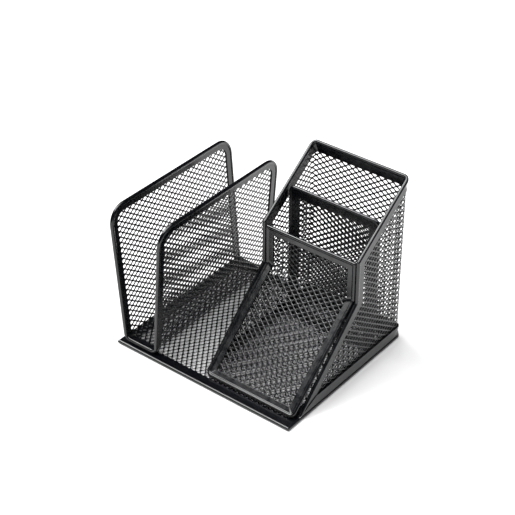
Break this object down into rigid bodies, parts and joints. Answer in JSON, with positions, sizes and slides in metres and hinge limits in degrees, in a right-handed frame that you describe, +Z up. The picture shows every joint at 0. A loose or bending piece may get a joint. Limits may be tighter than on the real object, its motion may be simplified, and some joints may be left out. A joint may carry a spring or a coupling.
{
  "type": "mesh desk organiser",
  "caption": "Free-standing desk organiser of black expanded-steel mesh with a letter tray, a sloping note ramp and a divided caddy for pens, in folded steel strips.",
  "frame": {"origin": "middle of the organiser's overall box, at table level", "axes": "+Z up, +Y towards the tall back of the caddy, +X towards the caddy's side, so the ramp and the open front face -Y"},
  "size_m": [0.1582, 0.1328, 0.1344],
  "materials": {
    "mesh_steel": "satin",
    "strip_steel": "satin"
  },
  "bodies": {
    "root": {"base_mesh": "mesh_steel", "base_rim_front": "strip_steel", "base_rim_wrap": "strip_steel", "caddy_wall_mesh": "mesh_steel", "caddy_bottom_band": "strip_steel", "caddy_top_rim": "strip_steel", "front_panel_mesh": "mesh_steel", "front_panel_frame": "strip_steel", "middle_divider_mesh": "mesh_steel", "middle_divider_frame": "strip_steel", "letter_tray_mesh": "mesh_steel", "letter_tray_rim": "strip_steel"}
  },
  "joints": []
}
